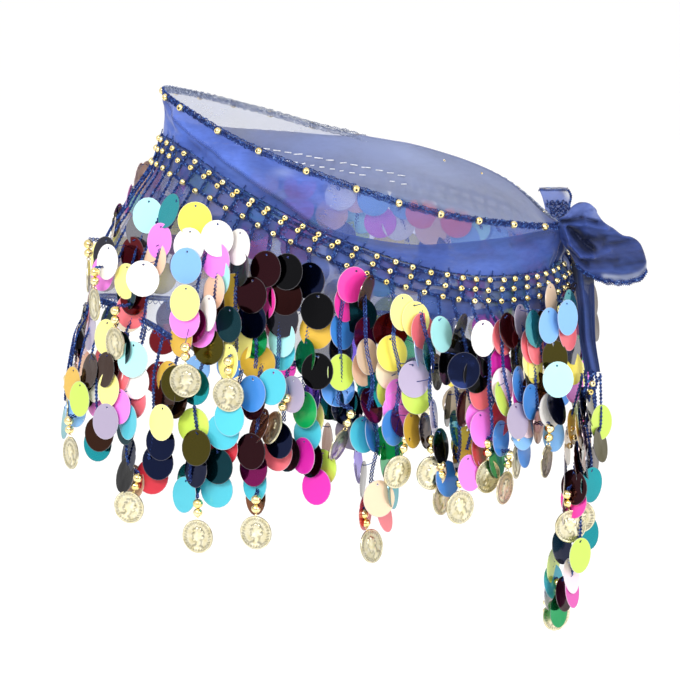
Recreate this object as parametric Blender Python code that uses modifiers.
# Belly dance hip scarf, worn: a chiffon wrap knotted on one hip, an open
# crocheted net round it, two tiers of hanging strands and a long tied end.
#
# Almost every piece is drawn on the hips in three numbers, and wrap() turns
# them into a place: the angle round the body in degrees, the offset outwards
# in mm, and the level in mm below the waist line. Angle 0 is the wearer's
# left (+X), 90 the back (+Y), 180 the right and 270 the front.

import math

import bmesh
import bpy
from mathutils import Vector

COLLECTION_NAME = "belly_dance_hip_scarf"
MM = 0.001
ORIGIN_LEVEL = 70.0           # the origin is on the body's axis, half way down the band

# The hips that the scarf lies on, as oval rings.
FIGURE = (
    # level, half_width, half_depth
    (-40, 124, 94), (0, 121, 92), (35, 122, 94), (75, 138, 104),
    (110, 158, 115), (150, 173, 124), (220, 187, 132), (400, 190, 134),
)

# The levels of the scarf's lines round the body. It is worn aslant.
LINES = (
    # angle, rim, net, hem
    (0, 93, 117, 132), (14, 80, 108, 145), (30, 66.5, 95, 160), (60, 51, 78, 184),
    (90, 40, 63, 184), (120, 22, 50, 174), (150, 7.5, 42, 162),
    (180, 1.5, 35, 152), (210, 9.5, 38, 149), (240, 31, 61, 168),
    (270, 54, 93, 178), (300, 77, 119, 178), (330, 90, 124, 150),
    (346, 94, 121, 138), (360, 93, 117, 132),
)

# Cloth
CLOTH = 1.4                   # wall, mm
CLOTH_COLUMNS = 40
CLOTH_ROWS = 12
SIDE_SEAM = 180.0             # the front and the back meet here
SEAM_HALF = 0.2               # degrees, half the gap at the side
KNOT_ANGLE = 348.5            # both ends are drawn into the knot here
KNOT_HALF = 1.2               # degrees, half the gap under the knot

# The cloth is gathered towards the knot, and drawn out to it.
GATHERS = 3
GATHER_HEIGHT = 1.5
GATHER_REACH = 42.0           # degrees
DRAWN = 12.0
DRAWN_REACH = 18.0            # degrees
DRAWN_LEVEL = 98.0
DRAWN_HEIGHT = 14.0

# The largest folds: soft ridges, or troughs where the height is below 0.
MM_PER_DEGREE = 2.5           # about, round the hips
FOLDS = (
    # from_angle, from_level, to_angle, to_level, half_width, height
    (243, 42, 264, 78, 13, -2.2), (232, 44, 262, 96, 12, 1.6),
    (282, 74, 344, 98, 12, 1.5), (205, 18, 222, 100, 14, 1.4),
    (192, 95, 190, 150, 15, 2.6), (214, 100, 213, 150, 14, -2.0),
    (233, 118, 231, 166, 15, 3.0), (250, 122, 250, 174, 13, -2.2),
    (267, 130, 268, 180, 14, 2.8), (285, 138, 284, 182, 13, -2.0),
    (302, 140, 300, 180, 14, 2.6), (318, 134, 314, 164, 12, -1.6),
    (168, 92, 170, 156, 14, -2.0), (152, 90, 152, 162, 15, 2.6),
    (130, 20, 112, 96, 14, -2.0), (118, 110, 117, 174, 15, 2.8),
    (98, 118, 97, 182, 13, -2.2), (80, 122, 79, 184, 15, 2.8),
    (66, 52, 32, 92, 13, 1.8), (62, 126, 62, 184, 13, -2.2),
    (45, 122, 46, 172, 13, 2.4), (28, 118, 30, 158, 12, -1.8),
)

# The crocheted net: cords down and across, with open cells between them.
NET_OFFSET = 2.4              # its inside, from the body
NET_CORD = 1.3                # thickness
NET_CORDS = 33                # cords down, on each half
NET_ROWS = 3                  # cords across
NET_ROW_STEP = 8.2
NET_CORD_WIDTH = 2.0
NET_LEAN = -0.25              # a cord's sideways step at each row, in cells
NET_SPREAD = (
    # share of the cords, degrees from the side seam to the knot
    (0, 2.5), (0.12, 28), (0.27, 60), (0.42, 84), (0.60, 110.5),
    (0.76, 131), (0.88, 148), (1, 166),
)
NET_BACK_REACH = 1.1          # the net runs on past the side behind, by this share

# The rim's crocheted edging
EDGING_RADIUS = 1.1
EDGING_RISE = 2.0
EDGING_POINTS = 44

# Strands. The upper tier hangs from the net, the lower one from the hem.
STRIP_HEIGHT = 2.6
STRIP_GAP = 0.6
STRAND_STATIONS = (
    # share of the hang, share of the way out
    (0.10, 0.60), (0.40, 1.0), (0.70, 1.0), (1.0, 1.0),
)
STRAND_WIDTH = 13.0
STRAND_SHARE = 0.62           # widest share of the room to the next strand
HIP_DEGREE = 2.75             # mm a degree where the strands hang
UPPER = {"root": (2.4, 4.6), "hang": (6.0, 8.6), "pressed": (2.6, 5.0)}
LOWER = {"root": (0.1, 2.4), "hang": (2.2, 4.8), "pressed": (2.2, 4.8)}
PRESSED_FROM = 321.0          # the tied end lies on the strands from here on

UPPER_FRONT = (
    # angle, hang
    (184, 112), (190, 92), (195, 108), (200, 102), (206, 118), (212, 96),
    (217, 121), (223.5, 100), (231, 110), (238, 120), (243, 96), (248, 117),
    (253, 104), (258, 126), (263.5, 102), (270.8, 121), (276.5, 108),
    (282.5, 132), (289.5, 128), (294, 104), (298, 126), (302, 108),
    (306, 133), (310.5, 110), (315, 100), (319, 116), (324, 102),
    (329, 112), (334, 98), (339, 106), (344, 92), (349, 100),
)
LOWER_FRONT = (
    # angle, hang
    (186, 100), (192, 88), (198, 104), (205, 110), (211, 92), (216.5, 112),
    (222.4, 138), (229, 112), (234.5, 114), (240.5, 141), (245.5, 108),
    (250, 104), (254.5, 126), (260, 80), (266.4, 92), (272, 84),
    (277.5, 132), (283, 104), (289, 82), (296, 106), (303, 88), (310, 98),
    (316, 90),
)
# Behind, each tier repeats one run of lengths. They are shorter than in front, as none
# shows below the cloth between the front's strands.
UPPER_BACK = {"first": -4.0, "last": 177.0, "count": 32, "hangs": (104, 88, 110, 94, 100, 84, 114, 92)}
LOWER_BACK = {"first": 10.0, "last": 175.0, "count": 25, "hangs": (76, 60, 84, 66, 72, 58, 88, 64)}

# The knot, and the ends that stand out of it
KNOT = {"x": 174.0, "y": -26.0, "level": 93.5, "half": (11.0, 11.0, 15.0)}
KNOT_SEGMENTS = 20
KNOT_RINGS = 12
KNOT_PLEATS = 4
KNOT_PLEAT = 0.09
KNOT_TWIST = 2.2
END_CLOTH = 1.3               # wall of the loose ends

# The flap is a folded length of cloth, open below: sections along +X.
FLAP_FOLD = 5                 # points down each of its layers
FLAP = (
    # x, y, top, bottom, half_top, half_bottom
    (167, -41.5, 95, 112, 1.4, 2.0), (171, -42.5, 91, 119, 1.8, 2.8),
    (177, -43, 88.5, 124, 2.2, 3.2), (184, -41, 89, 127.5, 2.4, 3.4),
    (190, -37.5, 93, 130, 2.6, 5.0), (198, -32, 97.5, 132, 2.8, 8.0),
    (208, -27, 103, 133.5, 2.6, 9.2), (214, -25.5, 107.5, 133, 2.2, 8.4),
    (219.5, -25, 115, 130, 1.8, 6.0),
)
FLAP_SECTIONS = 12
FLAP_ROUND = 1.4              # over 1, the fold along its top is round

# The tip stands up behind the knot: sections down it.
TIP = (
    # level, left, right, y, bow
    (75, 146.5, 168, 16, 3.0), (83.5, 150, 167.5, 15, 2.6),
    (91, 151, 168.5, 14, 2.0), (98, 151.6, 170, 13, 1.2),
)
TIP_COLUMNS = 6
TIP_ROWS = 6

# The tail is a gathered length of cloth that hangs from the knot.
TAIL = (
    # level, x, y, half_width, pleat
    (112, 176, -29.5, 5.5, 1.2), (128, 176.3, -32, 5.8, 1.3),
    (150, 176, -48, 5.8, 1.4), (172, 175.8, -61, 5.6, 1.3),
    (192, 178.2, -69, 5.4, 1.2),
)
TAIL_CLOTH = 1.0              # wall, thinner so that the pleats don't close up
TAIL_PLEATS = 1.5
TAIL_COLUMNS = 12
TAIL_ROWS = 10
TAIL_HEAD = {"level": 193.0, "height": 5.0, "cell": 6.4, "x": 178.0, "y": -70.0}
TAIL_STRAND = 3.8
TAIL_STRANDS = (
    # column, row, end_x, end_y, end_level
    (0, 0, 149, -96, 372), (1, 0, 163, -92, 311), (2, 0, 176, -90, 304),
    (0, 1, 157, -87, 340), (1, 1, 169, -82, 284), (2, 1, 182, -79, 262),
)
TAIL_STATIONS = (0.08, 0.36, 0.68, 1.0)

# Materials: linear base colour, roughness
CHIFFON = ((0.055, 0.105, 0.46, 1.0), 0.75)
YARN = ((0.02, 0.05, 0.22, 1.0), 0.7)
STRANDS = ((0.35, 0.42, 0.60, 1.0), 0.3)


def along(table, key):
    """Read a table's other columns at a key, on a smooth curve through its rows."""
    last = len(table) - 2
    row = next((i for i in range(last) if key < table[i + 1][0]), last)
    low, high = table[row], table[row + 1]
    before = table[max(row - 1, 0)]
    after = table[min(row + 2, last + 1)]
    span = high[0] - low[0]
    t = min(max((key - low[0]) / span, 0.0), 1.0)
    values = []
    for column in range(1, len(low)):
        rise_in = (high[column] - before[column]) / (high[0] - before[0]) * span
        rise_out = (after[column] - low[column]) / (after[0] - low[0]) * span
        values.append(
            (2 * t**3 - 3 * t**2 + 1) * low[column]
            + (t**3 - 2 * t**2 + t) * rise_in
            + (3 * t**2 - 2 * t**3) * high[column]
            + (t**3 - t**2) * rise_out
        )
    return values


def ease(t):
    """Rise smoothly from 0 to 1."""
    t = min(max(t, 0.0), 1.0)
    return t * t * (3 - 2 * t)


def lines(angle):
    """The rim's, the net's and the hem's level at an angle."""
    return along(LINES, angle % 360)


def from_knot(angle):
    """Degrees from the knot, either way round."""
    return abs((angle - KNOT_ANGLE + 180) % 360 - 180)


def fold_height(angle, level, fold):
    """One fold's height, by the distance from its crest."""
    from_angle, from_level, to_angle, to_level, half_width, height = fold
    start = Vector((from_angle * MM_PER_DEGREE, from_level))
    run = Vector((to_angle * MM_PER_DEGREE, to_level)) - start
    away = Vector((angle % 360 * MM_PER_DEGREE, level)) - start
    share = min(max(away.dot(run) / run.length_squared, 0.0), 1.0)
    distance = (away - run * share).length / half_width
    return height * max(0.0, 1 - distance * distance) ** 2


def relief(angle, level):
    """How far the cloth stands off the hips, with its folds and gathers."""
    rim, _, hem = lines(angle)
    share = (level - rim) / (hem - rim)
    below_hem = max(0.0, 1 - max(0.0, share - 1) * 2)
    gathered = ease(1 - from_knot(angle) / GATHER_REACH) * below_hem
    pleat = GATHER_HEIGHT * gathered * math.sin(2 * math.pi * GATHERS * share)
    near = math.exp(-(((level - DRAWN_LEVEL) / DRAWN_HEIGHT) ** 2))
    drawn = DRAWN * near * ease(1 - from_knot(angle) / DRAWN_REACH)
    folds = sum(fold_height(angle, level, fold) for fold in FOLDS)
    return pleat + drawn + folds * below_hem


def place(x, y, level):
    """A point in mm and its level, as a place in metres."""
    return Vector((x, y, ORIGIN_LEVEL - level)) * MM


def wrap(angle, offset, level):
    """A point on the hips, moved out by an offset, as a place in metres."""
    half_width, half_depth = along(FIGURE, level)
    out = offset + relief(angle, level)
    turn = math.radians(angle)
    return place((half_width + out) * math.cos(turn), (half_depth + out) * math.sin(turn), level)


def new_material(name, look):
    material = bpy.data.materials.new(name)
    material.use_nodes = True
    shader = material.node_tree.nodes["Principled BSDF"]
    shader.inputs["Base Color"].default_value = look[0]
    shader.inputs["Roughness"].default_value = look[1]
    shader.inputs["Metallic"].default_value = 0.0
    return material


def finish(name, bm, look, collection, wall=0.0):
    """Turn a bmesh into an object of its own, thickened outwards if it is a sheet."""
    mesh = bpy.data.meshes.new(name)
    bm.to_mesh(mesh)
    bm.free()
    mesh.shade_smooth()
    mesh.set_sharp_from_angle(angle=math.radians(45))
    piece = bpy.data.objects.new(name, mesh)
    piece.data.materials.append(new_material(name, look))
    collection.objects.link(piece)
    if wall:
        solidify = piece.modifiers.new("cloth", "SOLIDIFY")
        solidify.thickness = wall * MM
        solidify.offset = 1.0
        solidify.use_even_offset = True
    return piece


def face_out(bm):
    """Turn a closed mesh's faces outwards."""
    bmesh.ops.recalc_face_normals(bm, faces=bm.faces)
    if bm.calc_volume(signed=True) < 0:
        bmesh.ops.reverse_faces(bm, faces=bm.faces)


def new_grid(columns, rows, point):
    """A grid whose vertices are placed by point(column share, row share)."""
    bm = bmesh.new()
    bmesh.ops.create_grid(bm, x_segments=columns, y_segments=rows, size=0.5)
    for vertex in bm.verts:
        vertex.co = point(vertex.co.x + 0.5, 0.5 - vertex.co.y)
    return bm


def make_wall(name, start, end, collection):
    """Half of the wrap, from rim to hem."""
    def point(across, down):
        angle = start + (end - start) * across
        rim, _, hem = lines(angle)
        return wrap(angle, 0.0, rim + (hem - rim) * down)

    bm = new_grid(CLOTH_COLUMNS, CLOTH_ROWS, point)
    return finish(name, bm, CHIFFON, collection, wall=CLOTH)


def net_cord_angle(cord, side):
    """The angle of a cord, counted from the side seam. side is 1 in front, -1 behind."""
    reach = NET_BACK_REACH if side < 0 else 1.0
    return SIDE_SEAM + side * reach * along(NET_SPREAD, cord / (NET_CORDS - 1))[0]


def lean(cord):
    """A cord's sideways step at each row. The cords at the two ends stand straight."""
    return 0.0 if cord in (0, NET_CORDS - 1) else NET_LEAN


def make_net(name, side, collection):
    """Half of the net. Each cord has two edges, and the cells between cords are cut out."""
    columns = 2 * NET_CORDS - 1
    rows = 2 * NET_ROWS - 1
    bm = bmesh.new()
    bmesh.ops.create_grid(bm, x_segments=columns, y_segments=rows, size=0.5)
    cells = []
    for face in bm.faces:
        centre = face.calc_center_median()
        column = int((centre.x + 0.5) * columns)
        row = int((0.5 - centre.y) * rows)
        if column % 2 == 1 and row % 2 == 1:
            cells.append(face)
    bmesh.ops.delete(bm, geom=cells, context="FACES")
    for vertex in bm.verts:
        column = round((vertex.co.x + 0.5) * columns)
        row = round((0.5 - vertex.co.y) * rows)
        cord, right = divmod(column, 2)
        line, below = divmod(row, 2)
        angle = net_cord_angle(cord + lean(cord) * line, side)
        angle += side * (right - 0.5) * NET_CORD_WIDTH / MM_PER_DEGREE
        level = lines(angle)[1] + line * NET_ROW_STEP + (below - 0.5) * NET_CORD_WIDTH
        vertex.co = wrap(angle, NET_OFFSET, level)
    if side < 0:
        bmesh.ops.reverse_faces(bm, faces=bm.faces)
    return finish(name, bm, YARN, collection, wall=NET_CORD)


def make_edging(name, start, end, collection):
    """The rim's edging: a cord that runs just above the cloth's top edge."""
    curve = bpy.data.curves.new(name, "CURVE")
    curve.dimensions = "3D"
    curve.bevel_depth = EDGING_RADIUS * MM
    curve.bevel_resolution = 0
    curve.use_fill_caps = True
    spline = curve.splines.new("POLY")
    spline.points.add(EDGING_POINTS - 1)
    for number, point in enumerate(spline.points):
        angle = start + (end - start) * number / (EDGING_POINTS - 1)
        rim = lines(angle)[0]
        point.co = (*wrap(angle, CLOTH / 2, rim - EDGING_RISE), 1.0)
    piece = bpy.data.objects.new(name, curve)
    piece.data.materials.append(new_material(name, YARN))
    collection.objects.link(piece)
    return piece


def strand_halves(strands):
    """Half of each strand's width in degrees, by the room to its nearest neighbour."""
    halves = []
    for number, (angle, _) in enumerate(strands):
        beside = [strands[n][0] for n in (number - 1, number + 1) if 0 <= n < len(strands)]
        room = min(abs(angle - other) for other in beside)
        halves.append(min(STRAND_WIDTH / HIP_DEGREE, room * STRAND_SHARE) / 2)
    return halves


def make_fringe(name, strands, tier, root_level, collection):
    """A narrow strip with a row of strands drawn out of its underside."""
    halves = strand_halves(strands)
    edges = []
    for (angle, _), half in zip(strands, halves):
        edges += [angle - half, angle + half]
    bm = bmesh.new()
    bmesh.ops.create_grid(bm, x_segments=len(edges) - 1, y_segments=1, size=0.5)
    for vertex in bm.verts:
        angle = edges[round((vertex.co.x + 0.5) * (len(edges) - 1))]
        offset = tier["root"][int(vertex.co.y > 0)]
        vertex.co = (angle, offset, root_level(angle) + STRIP_HEIGHT)
    undersides = sorted(bm.faces, key=lambda face: face.calc_center_median().x)
    top = bmesh.ops.extrude_face_region(bm, geom=bm.faces[:])["geom"]
    for vertex in (item for item in top if isinstance(item, bmesh.types.BMVert)):
        vertex.co.z -= STRIP_HEIGHT
    for (angle, hang), half, face in zip(strands, halves, undersides[::2]):
        reach = tier["pressed"] if angle > PRESSED_FROM else tier["hang"]
        for share, outward in STRAND_STATIONS:
            face = bmesh.ops.extrude_discrete_faces(bm, faces=[face])["faces"][0]
            centre = face.calc_center_median()
            corners = [(v, v.co.x > centre.x, int(v.co.y > centre.y)) for v in face.verts]
            level = root_level(angle) + STRIP_HEIGHT + hang * share
            for vertex, right, outer in corners:
                offset = tier["root"][outer] + (reach[outer] - tier["root"][outer]) * outward
                vertex.co = (angle + (half if right else -half), offset, level)
    for vertex in bm.verts:
        vertex.co = wrap(*vertex.co)
    face_out(bm)
    return finish(name, bm, STRANDS, collection)


def net_root(angle):
    """Where the upper tier's strip starts: under the net's last cord."""
    return lines(angle)[1] + (NET_ROWS - 1) * NET_ROW_STEP + NET_CORD_WIDTH / 2 + STRIP_GAP


def hem_root(angle):
    """Where the lower tier's strip starts: under the hem."""
    return lines(angle)[2] + STRIP_GAP


def back_strands(tier):
    """Evenly spaced strands behind, with lengths that repeat."""
    step = (tier["last"] - tier["first"]) / (tier["count"] - 1)
    return [
        (tier["first"] + step * number, tier["hangs"][number % len(tier["hangs"])])
        for number in range(tier["count"])
    ]


def make_knot(collection):
    """A round knot with pleats that wind round it."""
    bm = bmesh.new()
    bmesh.ops.create_uvsphere(bm, u_segments=KNOT_SEGMENTS, v_segments=KNOT_RINGS, radius=1.0)
    for vertex in bm.verts:
        turn = math.atan2(vertex.co.y, vertex.co.x) + KNOT_TWIST * vertex.co.z
        level_round = 1 - abs(vertex.co.z)
        swell = 1 + KNOT_PLEAT * math.cos(KNOT_PLEATS * turn) * ease(2 * level_round)
        half = KNOT["half"]
        vertex.co = place(
            KNOT["x"] + vertex.co.x * half[0] * swell,
            KNOT["y"] + vertex.co.y * half[1] * swell,
            KNOT["level"] - vertex.co.z * half[2],
        )
    return finish("knot", bm, CHIFFON, collection)


def make_flap(collection):
    """A folded length that stands out of the knot: up one layer, over the fold and down the other."""
    first, last = FLAP[0][0], FLAP[-1][0]

    def point(across, down):
        x = first + (last - first) * across
        y, top, bottom, half_top, half_bottom = along(FLAP, x)
        over = 2 * down - 1
        drop = abs(over)
        half = half_top + (half_bottom - half_top) * drop
        y -= half * math.sin(over * math.pi / 2)
        return place(x, y, top + (bottom - top) * drop**FLAP_ROUND)

    bm = new_grid(FLAP_SECTIONS, 2 * FLAP_FOLD, point)
    return finish("tie_flap", bm, CHIFFON, collection, wall=END_CLOTH)


def make_tip(collection):
    """The short end that stands up behind the knot, bowed across."""
    first, last = TIP[0][0], TIP[-1][0]

    def point(across, down):
        level = first + (last - first) * down
        left, right, y, bow = along(TIP, level)
        return place(left + (right - left) * across, y + bow * math.sin(across * math.pi), level)

    bm = new_grid(TIP_COLUMNS, TIP_ROWS, point)
    return finish("tie_tip", bm, CHIFFON, collection, wall=END_CLOTH)


def make_tail(collection):
    """The long end: a pleated length that hangs over the strands."""
    first, last = TAIL[0][0], TAIL[-1][0]

    def point(across, down):
        level = first + (last - first) * down
        x, y, half_width, pleat = along(TAIL, level)
        wave = pleat * math.sin(2 * math.pi * TAIL_PLEATS * across)
        return place(x + half_width * (2 * across - 1), y + wave, level)

    bm = new_grid(TAIL_COLUMNS, TAIL_ROWS, point)
    return finish("tie_tail", bm, CHIFFON, collection, wall=TAIL_CLOTH)


def make_tail_fringe(collection):
    """The tail's tassel: a small head with strands drawn out of its underside."""
    cell = TAIL_HEAD["cell"]
    columns, rows = 5, 3
    bm = bmesh.new()
    bmesh.ops.create_grid(bm, x_segments=columns, y_segments=rows, size=0.5)
    for vertex in bm.verts:
        column = round((vertex.co.x + 0.5) * columns)
        row = round((vertex.co.y + 0.5) * rows)
        across = (column // 2 - 1) * cell + (column % 2 - 0.5) * TAIL_STRAND
        deep = (row // 2 - 0.5) * cell + (row % 2 - 0.5) * TAIL_STRAND
        underside = TAIL_HEAD["level"] + TAIL_HEAD["height"]
        vertex.co = (TAIL_HEAD["x"] + across, TAIL_HEAD["y"] + deep, underside)
    roots = {}
    for face in bm.faces:
        centre = face.calc_center_median()
        column = (centre.x - TAIL_HEAD["x"]) / cell + 1
        row = (centre.y - TAIL_HEAD["y"]) / cell + 0.5
        if abs(column - round(column)) < 0.1 and abs(row - round(row)) < 0.1:
            roots[round(column), round(row)] = face
    top = bmesh.ops.extrude_face_region(bm, geom=bm.faces[:])["geom"]
    for vertex in (item for item in top if isinstance(item, bmesh.types.BMVert)):
        vertex.co.z -= TAIL_HEAD["height"]
    for column, row, end_x, end_y, end_level in TAIL_STRANDS:
        face = roots[column, row]
        root = face.calc_center_median()
        end = Vector((end_x, end_y, end_level))
        before = root
        for share in TAIL_STATIONS:
            face = bmesh.ops.extrude_discrete_faces(bm, faces=[face])["faces"][0]
            outward = 1 - (1 - share) ** 2
            centre = Vector((*root.lerp(end, outward).xy, root.lerp(end, share).z))
            bmesh.ops.translate(bm, verts=face.verts, vec=centre - before)
            before = centre
    for vertex in bm.verts:
        vertex.co = place(*vertex.co)
    face_out(bm)
    return finish("fringe_tail", bm, STRANDS, collection)


def main():
    for thing in list(bpy.data.objects):
        bpy.data.objects.remove(thing)
    collection = bpy.data.collections.new(COLLECTION_NAME)
    bpy.context.scene.collection.children.link(collection)

    front = (SIDE_SEAM + SEAM_HALF, KNOT_ANGLE - KNOT_HALF)
    back = (KNOT_ANGLE - 360 + KNOT_HALF, SIDE_SEAM - SEAM_HALF)
    make_wall("scarf_front", *front, collection)
    make_wall("scarf_back", *back, collection)
    make_edging("rim_edging_front", *front, collection)
    make_edging("rim_edging_back", *back, collection)
    make_net("net_front", 1, collection)
    make_net("net_back", -1, collection)
    make_fringe("fringe_net_front", UPPER_FRONT, UPPER, net_root, collection)
    make_fringe("fringe_net_back", back_strands(UPPER_BACK), UPPER, net_root, collection)
    make_fringe("fringe_hem_front", LOWER_FRONT, LOWER, hem_root, collection)
    make_fringe("fringe_hem_back", back_strands(LOWER_BACK), LOWER, hem_root, collection)
    make_knot(collection)
    make_flap(collection)
    make_tip(collection)
    make_tail(collection)
    make_tail_fringe(collection)


main()
